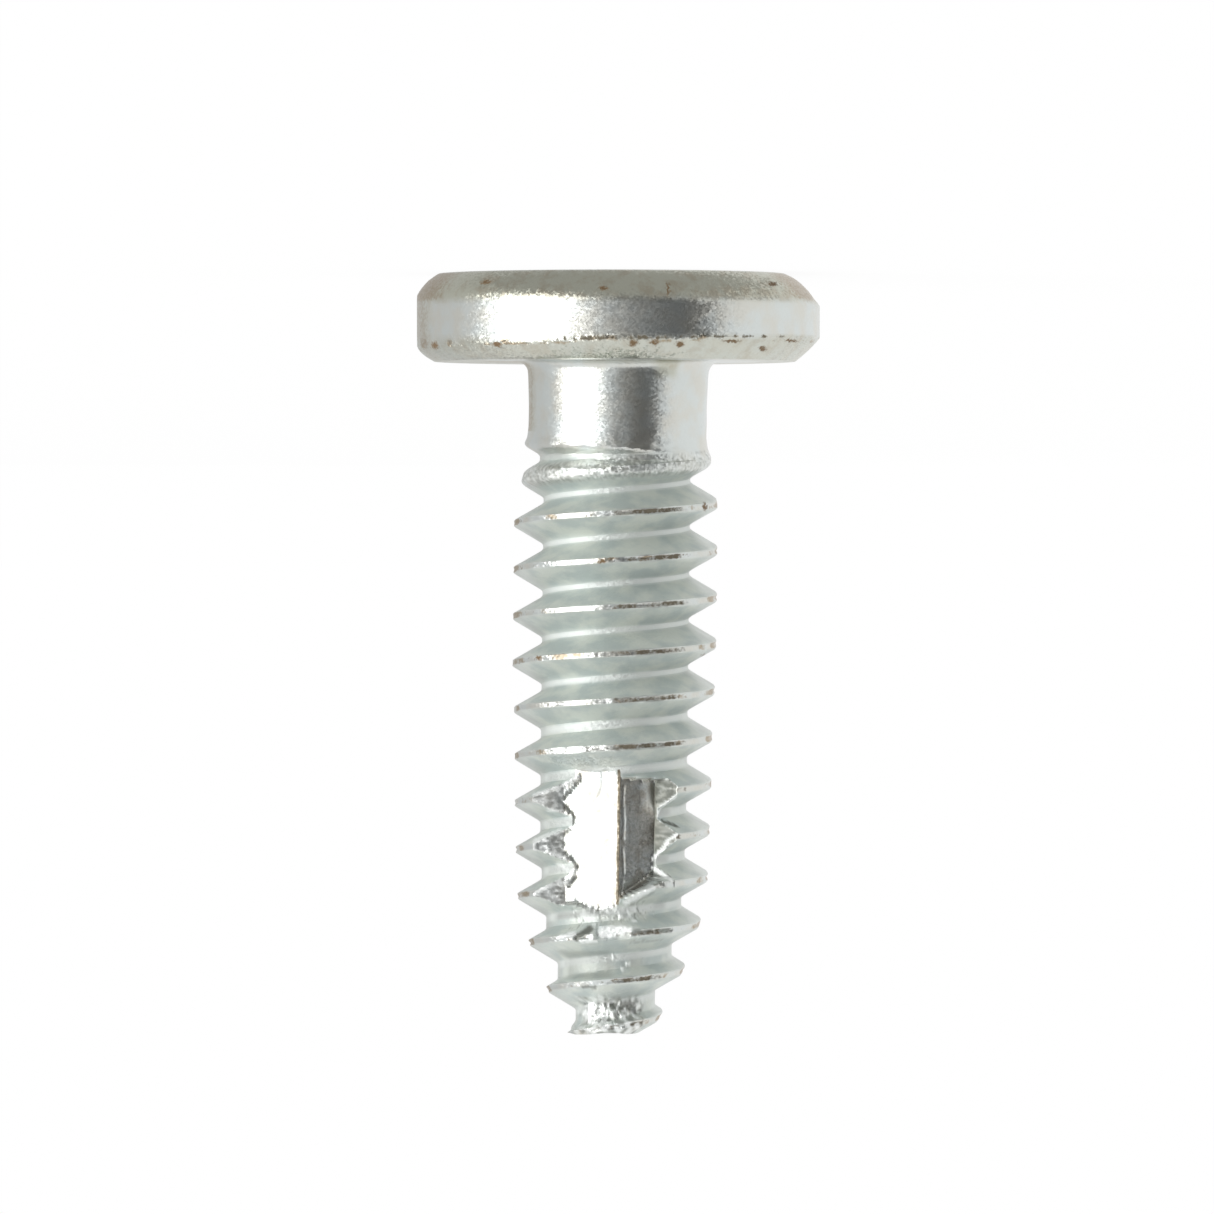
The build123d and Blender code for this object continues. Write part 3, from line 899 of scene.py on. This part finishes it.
def zinc_plate_material(finish):
    """Zinc electroplate on steel, clear passivated: a soft cool grey sheen, tan where the crests are worn."""
    material = bpy.data.materials.new("zinc_plate_on_steel")
    material.use_nodes = True
    tree = material.node_tree
    tree.nodes.clear()
    place = add_node(tree, "ShaderNodeTexCoord").outputs["Object"]
    marks = {
        name: add_node(tree, "ShaderNodeAttribute", attribute_name=name).outputs["Fac"]
        for name in ("matt", "root", "worn", "grime", "dull_and_shade", "rugged", "facet", "bare_and_glint", "hollow_and_shade")
    }
    blotch = add_node(
        tree, "ShaderNodeTexNoise", {"Vector": place, "Scale": 1 / (BLOTCH_SIZE * MM), "Detail": 4.0}
    )
    tint = add_node(
        tree, "ShaderNodeMapRange", {"Value": blotch.outputs["Fac"], "From Min": 0.40, "From Max": 0.60}
    ).outputs["Result"]
    # The worn and grimy places break up into flecks
    fleck = add_node(
        tree, "ShaderNodeTexNoise", {"Vector": place, "Scale": 1 / (FLECK_SIZE * MM), "Detail": 4.0}
    )
    shares = {}
    for name in ("worn", "grime"):
        both = add_node(tree, "ShaderNodeMath", {0: marks[name], 1: fleck.outputs["Fac"]}, operation="ADD")
        edge = add_node(
            tree, "ShaderNodeMapRange", {"Value": both.outputs[0], "From Min": 0.85, "From Max": 1.2}
        )
        shares[name] = edge.outputs["Result"]
    rust = rust_mask(tree, place)
    film = add_node(
        tree, "ShaderNodeMix",
        {"Factor": tint, "A": (*finish.passivation, 1), "B": (*finish.blue_passivation, 1)}, data_type="RGBA",
    ).outputs["Result"]
    # Brownish stains with ragged edges on the dull and shaded places and, fainter, on the flute's facets
    mottle = add_node(
        tree, "ShaderNodeTexNoise",
        {"Vector": place, "Scale": 1 / (STAIN_SIZE * MM), "Detail": 6.0, "Roughness": 0.65},
    )
    stain = add_node(
        tree, "ShaderNodeMapRange",
        {"Value": mottle.outputs["Fac"], "From Min": 0.46, "From Max": 0.62, "To Max": STAIN_STRENGTH},
    )
    stained_marks = add_node(tree, "ShaderNodeMath", {0: marks["dull_and_shade"], 1: marks["facet"]}, operation="ADD")
    stained = add_node(
        tree, "ShaderNodeMath",
        {0: stain.outputs["Result"], 1: stained_marks.outputs[0]}, operation="MULTIPLY",
    )
    colour = (*finish.zinc, 1)
    # Colours laid one over the other. The roots' pale colour is a painted highlight, the hollows' dark colour
    # is painted shade, the near-white of torn metal is partly a painted highlight, and the dull colour on the
    # head's shoulder is partly painted shade.
    layers = (
        (tint, finish.warm_zinc), (marks["matt"], film), (marks["root"], finish.root_highlight),
        (marks["dull_and_shade"], finish.dull_zinc_and_shade), (stained.outputs[0], finish.worn), (shares["worn"], finish.worn),
        (shares["grime"], finish.grime), (marks["hollow_and_shade"], finish.hollow_and_shade), (marks["bare_and_glint"], finish.bare_and_glint),
        (rust, finish.rust),
    )
    for share, layer in layers:
        shade = layer if layer is film else (*layer, 1)
        mix = add_node(tree, "ShaderNodeMix", {"Factor": share, "A": colour, "B": shade}, data_type="RGBA")
        colour = mix.outputs["Result"]
    dirt = add_node(tree, "ShaderNodeMath", {0: rust, 1: shares["grime"]}, operation="MAXIMUM").outputs[0]
    # Flanks and roots are matt from the rolling dies, and the rest is brighter. Each mark fades to its value.
    fades = {
        "Metallic": (
            1.0, (marks["matt"], FILM_METALLIC), (marks["hollow_and_shade"], HOLLOW_AND_SHADE_METALLIC),
            (marks["bare_and_glint"], BARE_AND_GLINT_METALLIC), (dirt, DIRT_METALLIC),
        ),
        "Roughness": (
            finish.roughness, (marks["matt"], finish.flank_roughness), (marks["root"], finish.root_roughness),
            (marks["facet"], finish.facet_roughness), (dirt, DIRT_ROUGHNESS),
        ),
    }
    sockets = {"Base Color": colour}
    for socket, (level, *steps) in fades.items():
        for share, value in steps:
            fade = add_node(tree, "ShaderNodeMapRange", {"Value": share, "To Min": level, "To Max": value})
            level = fade.outputs["Result"]
        sockets[socket] = level
    # Each plating crystal tilts its own way: a little on smooth metal, much where it is torn
    crystal = add_node(tree, "ShaderNodeTexVoronoi", {"Vector": place, "Scale": 1 / (CRYSTAL_SIZE * MM)})
    offset = add_node(
        tree, "ShaderNodeVectorMath", {0: crystal.outputs["Color"], 1: (0.5, 0.5, 0.5)}, operation="SUBTRACT"
    )
    calm = add_node(
        tree, "ShaderNodeMapRange", {"Value": marks["facet"], "To Min": CRYSTAL_TILT, "To Max": FACET_TILT}
    )
    amount = add_node(
        tree, "ShaderNodeMapRange",
        {"Value": marks["rugged"], "To Min": calm.outputs["Result"], "To Max": TORN_TILT},
    )
    tilt = add_node(
        tree, "ShaderNodeVectorMath",
        {0: offset.outputs["Vector"], "Scale": amount.outputs["Result"]}, operation="SCALE",
    )
    # The flute's facets have soft marks drawn out along the screw
    along = add_node(tree, "ShaderNodeMapping", {"Vector": place, "Scale": (1.0, 1.0, 0.12)})
    scratch = add_node(
        tree, "ShaderNodeTexNoise",
        {"Vector": along.outputs["Vector"], "Scale": 1 / (SCRATCH_WIDTH * MM), "Detail": 3.0},
    )
    scratched = add_node(
        tree, "ShaderNodeBump",
        {"Height": scratch.outputs["Fac"], "Strength": marks["facet"], "Distance": SCRATCH_DEPTH * MM},
    )
    tilted = add_node(
        tree, "ShaderNodeVectorMath",
        {0: scratched.outputs["Normal"], 1: tilt.outputs["Vector"]}, operation="ADD",
    )
    normal = add_node(tree, "ShaderNodeVectorMath", {0: tilted.outputs["Vector"]}, operation="NORMALIZE")
    sockets["Normal"] = normal.outputs["Vector"]
    shader = add_node(tree, "ShaderNodeBsdfPrincipled", sockets)
    add_node(tree, "ShaderNodeOutputMaterial", {"Surface": shader.outputs["BSDF"]})
    return material


# How much of the floor's colour is plain white for the camera. The rest is lit, and holds the screw's shadow.
WHITE_SHARE = 0.95


def floor_material(stage):
    """Matt white paper, which shows the screw's soft shadow and is clear from beneath."""
    material = bpy.data.materials.new("matt_white_paper")
    material.use_nodes = True
    tree = material.node_tree
    tree.nodes.clear()
    diffuse = add_node(tree, "ShaderNodeBsdfDiffuse", {"Color": (*stage.floor, 1)})
    white = add_node(tree, "ShaderNodeEmission", {"Color": (1, 1, 1, 1), "Strength": 1.0})
    ray = add_node(tree, "ShaderNodeLightPath")
    seen = ray.outputs["Is Camera Ray"]
    for kind in ("Is Glossy Ray", "Is Transmission Ray"):
        either = add_node(tree, "ShaderNodeMath", {0: seen, 1: ray.outputs[kind]}, operation="MAXIMUM")
        seen = either.outputs[0]
    share = add_node(tree, "ShaderNodeMath", {0: seen, 1: WHITE_SHARE}, operation="MULTIPLY")
    paper = add_node(
        tree, "ShaderNodeMixShader", {0: share.outputs[0], 1: diffuse.outputs[0], 2: white.outputs[0]}
    )
    clear = add_node(tree, "ShaderNodeBsdfTransparent")
    behind = add_node(tree, "ShaderNodeNewGeometry").outputs["Backfacing"]
    sheet = add_node(tree, "ShaderNodeMixShader", {0: behind, 1: paper.outputs[0], 2: clear.outputs[0]})
    add_node(tree, "ShaderNodeOutputMaterial", {"Surface": sheet.outputs[0]})
    return material


# Studio cards round the screw: name, from and to bearing as the camera sees them, and brightness
CARDS = (
    ("card_left_back", -180, -84, 0.70),
    ("card_front_left", -22, -10, 0.80),
    ("card_front", -10, 3, 0.46),
    ("card_front_right", 3, 17, 0.27),
    ("card_dark", 17, 30, 0.16),
    ("card_darkest", 30, 52, 0.08),
    ("card_dark_edge", 52, 58, 0.5),
)
CARD_UNDER_BRIGHTNESS = 0.50
CARD_COLUMNS = 12
CARD_DISTANCE = 400
# How far the cards reach up and down from the middle of the studio
CARD_REACH = 400
STUDIO_HEIGHT = 8.6
FLOOR_REACH = 2000
KEY_BEARING = -51
KEY_SIZE = (410, 700)
KEY_DISTANCE = 450
CAMERA_PLACE = (0.258, -297.5, 7.563)
CAMERA_LENS = 388.5
CAMERA_SENSOR = 36
# How near and how far the camera sees, in metres
CAMERA_CLIP = (0.01, 10)


def square(reach, z):
    """Four corners of a level square, seen from above against the clock."""
    return np.array([(-reach, -reach, z), (reach, -reach, z), (reach, reach, z), (-reach, reach, z)])


def studio_sheet(name, points, faces, material):
    """Makes one sheet of the studio from points in millimetres."""
    mesh = bpy.data.meshes.new(name)
    mesh.from_pydata((points * MM).tolist(), [], faces)
    mesh.materials.append(material)
    sheet = bpy.data.objects.new(name, mesh)
    bpy.context.scene.collection.objects.link(sheet)
    return sheet


def studio_card(name, points, faces, brightness):
    """Makes a matt card of even brightness, which shows as a reflection and hides nothing from the camera."""
    material = bpy.data.materials.new(name)
    material.use_nodes = True
    tree = material.node_tree
    tree.nodes.clear()
    glow = add_node(tree, "ShaderNodeEmission", {"Color": (1, 1, 1, 1), "Strength": brightness})
    add_node(tree, "ShaderNodeOutputMaterial", {"Surface": glow.outputs[0]})
    card = studio_sheet(name, points, faces, material)
    card.visible_camera = False
    card.visible_shadow = False


def make_cards():
    """The curved upright cards round the screw, and one card beneath it."""
    count = CARD_COLUMNS
    faces = [(place, place + 1, place + count + 1, place + count) for place in range(count - 1)]
    for name, start, end, brightness in CARDS:
        bearing = np.linspace(start, end, count)
        points = np.concatenate([
            around(bearing, CARD_DISTANCE, STUDIO_HEIGHT - CARD_REACH),
            around(bearing, CARD_DISTANCE, STUDIO_HEIGHT + CARD_REACH),
        ])
        studio_card(name, points, faces, brightness)
    under = square(CARD_DISTANCE, STUDIO_HEIGHT - CARD_REACH)
    studio_card("card_under", under, [(0, 1, 2, 3)], CARD_UNDER_BRIGHTNESS)


def make_world():
    """An even white surround."""
    world = bpy.data.worlds.new("white_studio")
    world.use_nodes = True
    world.node_tree.nodes.clear()
    sky = add_node(world.node_tree, "ShaderNodeBackground", {"Color": (1, 1, 1, 1), "Strength": 1.0})
    add_node(world.node_tree, "ShaderNodeOutputWorld", {"Surface": sky.outputs[0]})
    bpy.context.scene.world = world


def make_softbox(brightness):
    """The one lamp: a large softbox at the front left."""
    lamp = bpy.data.lights.new("softbox", "AREA")
    lamp.shape = "RECTANGLE"
    lamp.size, lamp.size_y = KEY_SIZE[0] * MM, KEY_SIZE[1] * MM
    lamp.energy = brightness * math.pi * lamp.size * lamp.size_y
    softbox = bpy.data.objects.new("softbox", lamp)
    bpy.context.scene.collection.objects.link(softbox)
    turn = math.radians(KEY_BEARING)
    away = Vector((-math.sin(turn), -math.cos(turn), 0))
    softbox.location = away * KEY_DISTANCE * MM + Vector((0, 0, STUDIO_HEIGHT * MM))
    softbox.rotation_mode = "QUATERNION"
    softbox.rotation_quaternion = (-away).to_track_quat("-Z", "Y")
    softbox.visible_camera = False


def make_camera():
    """The camera. It hangs head down, because the photograph shows the screw with its head at the top."""
    lens = bpy.data.cameras.new("camera")
    lens.sensor_width = CAMERA_SENSOR
    lens.lens = CAMERA_LENS
    lens.clip_start, lens.clip_end = CAMERA_CLIP
    camera = bpy.data.objects.new("camera", lens)
    bpy.context.scene.collection.objects.link(camera)
    x, y, z = (along * MM for along in CAMERA_PLACE)
    camera.matrix_world = Matrix(((-1, 0, 0, x), (0, 0, -1, y), (0, -1, 0, z), (0, 0, 0, 1)))
    bpy.context.scene.camera = camera


class ScrewShape(bpy.types.PropertyGroup):
    """How the screw is bent"""

    lean: bpy.props.FloatProperty(
        name="Lean", description="How far the shank leans towards +X", default=math.radians(0.65),
        subtype="ANGLE",
    )


class ScrewFinish(bpy.types.PropertyGroup):
    """Colours and roughness of the plating"""

    zinc: bpy.props.FloatVectorProperty(
        name="Zinc", description="Plain colour of the zinc plating", default=linear_colour("d2d7d5"),
        subtype="COLOR", min=0, max=1,
    )
    warm_zinc: bpy.props.FloatVectorProperty(
        name="Warm zinc", description="Warmer blotches in the plating", default=linear_colour("d2d2cb"),
        subtype="COLOR", min=0, max=1,
    )
    passivation: bpy.props.FloatVectorProperty(
        name="Passivation", description="Pale green tint on the flanks of the thread",
        default=linear_colour("d6dbd4"), subtype="COLOR", min=0, max=1,
    )
    # Painted highlight: this paler colour along the bottom of the groove stands in for the bright strip of
    # light reflected there.
    root_highlight: bpy.props.FloatVectorProperty(
        name="Bright root", description="Pale plating at the bottom of the groove",
        default=linear_colour("e4e8e5"), subtype="COLOR", min=0, max=1,
    )
    blue_passivation: bpy.props.FloatVectorProperty(
        name="Blue passivation", description="Blue-grey blotches on the flanks of the thread",
        default=linear_colour("c0c9c6"), subtype="COLOR", min=0, max=1,
    )
    # On the head's shoulder this darker colour is partly painted shade.
    dull_zinc_and_shade: bpy.props.FloatVectorProperty(
        name="Dull zinc", description="Duller plating on the edges of the head",
        default=linear_colour("bebfb1"), subtype="COLOR", min=0, max=1,
    )
    worn: bpy.props.FloatVectorProperty(
        name="Worn edges", description="Tan colour of worn crests and rims", default=linear_colour("a89c88"),
        subtype="COLOR", min=0, max=1,
    )
    grime: bpy.props.FloatVectorProperty(
        name="Grime", description="Dirt in the seam along the crests", default=linear_colour("6f6858"),
        subtype="COLOR", min=0, max=1,
    )
    rust: bpy.props.FloatVectorProperty(
        name="Rust", description="Rust specks", default=linear_colour("7a6448"), subtype="COLOR", min=0, max=1
    )
    # Partly the colour of bare metal and partly a painted highlight on torn folds and burrs.
    bare_and_glint: bpy.props.FloatVectorProperty(
        name="Bare metal", description="Freshly torn folds and burrs", default=linear_colour("f2f5f3"),
        subtype="COLOR", min=0, max=1,
    )
    # Painted shade: this dark colour stands in for the shade in pits, hollows and the broken ends of the
    # thread.
    hollow_and_shade: bpy.props.FloatVectorProperty(
        name="Hollows", description="Pits and the shaded ends of the broken thread",
        default=linear_colour("70736c"), subtype="COLOR", min=0, max=1,
    )
    roughness: bpy.props.FloatProperty(
        name="Roughness", description="Roughness of the neck and the side of the head", default=0.3,
        min=0, max=1,
    )
    flank_roughness: bpy.props.FloatProperty(
        name="Flank roughness", description="Roughness of the thread's flanks", default=0.48, min=0, max=1
    )
    root_roughness: bpy.props.FloatProperty(
        name="Root roughness", description="Roughness of the bottom of the groove", default=0.6, min=0, max=1
    )
    facet_roughness: bpy.props.FloatProperty(
        name="Facet roughness", description="Roughness of the flute's two facets", default=0.27,
        min=0, max=1,
    )


class ScrewStage(bpy.types.PropertyGroup):
    """Floor and light of the studio"""

    floor: bpy.props.FloatVectorProperty(
        name="Floor", description="Colour of the paper floor", default=linear_colour("ffffff"),
        subtype="COLOR", min=0, max=1,
    )
    key_brightness: bpy.props.FloatProperty(
        name="Key light", description="Brightness of the softbox, where 1 is white", default=2.2, min=0
    )


class SCREW_OT_stage(bpy.types.Operator):
    """Makes the camera, the floor, the light and the cards"""

    bl_idname = "screw.stage"
    bl_label = "Studio"

    def execute(self, context):
        stage = context.scene.screw_stage
        context.scene.view_settings.view_transform = "Standard"
        make_world()
        paper = floor_material(stage)
        floor = studio_sheet("paper_floor", square(FLOOR_REACH, 0), [(0, 1, 2, 3)], paper)
        floor.visible_glossy = False
        make_cards()
        make_softbox(stage.key_brightness)
        make_camera()
        return {"FINISHED"}


class SCREW_OT_screw(bpy.types.Operator):
    """Makes the plated screw"""

    bl_idname = "screw.body"
    bl_label = "Screw"

    def execute(self, context):
        upright, faces = screw_mesh()
        points = lean(upright)
        mesh = bpy.data.meshes.new("screw_finish")
        mesh.from_pydata((points * MM).tolist(), [], faces)
        if mesh.validate():
            raise RuntimeError("the screw's mesh had faulty faces")
        mesh.shade_smooth()
        mesh.set_sharp_from_angle(angle=math.radians(SHARP_ANGLE))
        for name, values in surface_marks(upright).items():
            attribute = mesh.attributes.new(name, "FLOAT", "POINT")
            attribute.data.foreach_set("value", values.astype(np.float32))
        mesh.materials.append(zinc_plate_material(context.scene.screw_finish))
        screw = bpy.data.objects.new("screw_finish", mesh)
        context.scene.collection.objects.link(screw)
        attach(screw, "root")
        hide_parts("screw")
        return {"FINISHED"}


class SCREW_PT_panel(bpy.types.Panel):
    """Lists what the add-on makes and the sizes and colours to change"""

    bl_label = "Thread-cutting screw"
    bl_idname = "SCREW_PT_panel"
    bl_space_type = "VIEW_3D"
    bl_region_type = "UI"
    bl_category = "Screw"

    def draw(self, context):
        layout = self.layout
        for group in (context.scene.screw_shape, context.scene.screw_finish, context.scene.screw_stage):
            for name in group.__annotations__:
                layout.prop(group, name)
        layout.operator("screw.stage")
        layout.operator("screw.body")


CLASSES = (ScrewShape, ScrewFinish, ScrewStage, SCREW_OT_stage, SCREW_OT_screw, SCREW_PT_panel)


def register():
    for item in CLASSES:
        bpy.utils.register_class(item)
    bpy.types.Scene.screw_shape = bpy.props.PointerProperty(type=ScrewShape)
    bpy.types.Scene.screw_finish = bpy.props.PointerProperty(type=ScrewFinish)
    bpy.types.Scene.screw_stage = bpy.props.PointerProperty(type=ScrewStage)


def unregister():
    del bpy.types.Scene.screw_stage
    del bpy.types.Scene.screw_finish
    del bpy.types.Scene.screw_shape
    for item in reversed(CLASSES):
        bpy.utils.unregister_class(item)


def main():
    register()
    bpy.ops.screw.stage()
    bpy.ops.screw.body()


if __name__ == "__main__":
    main()
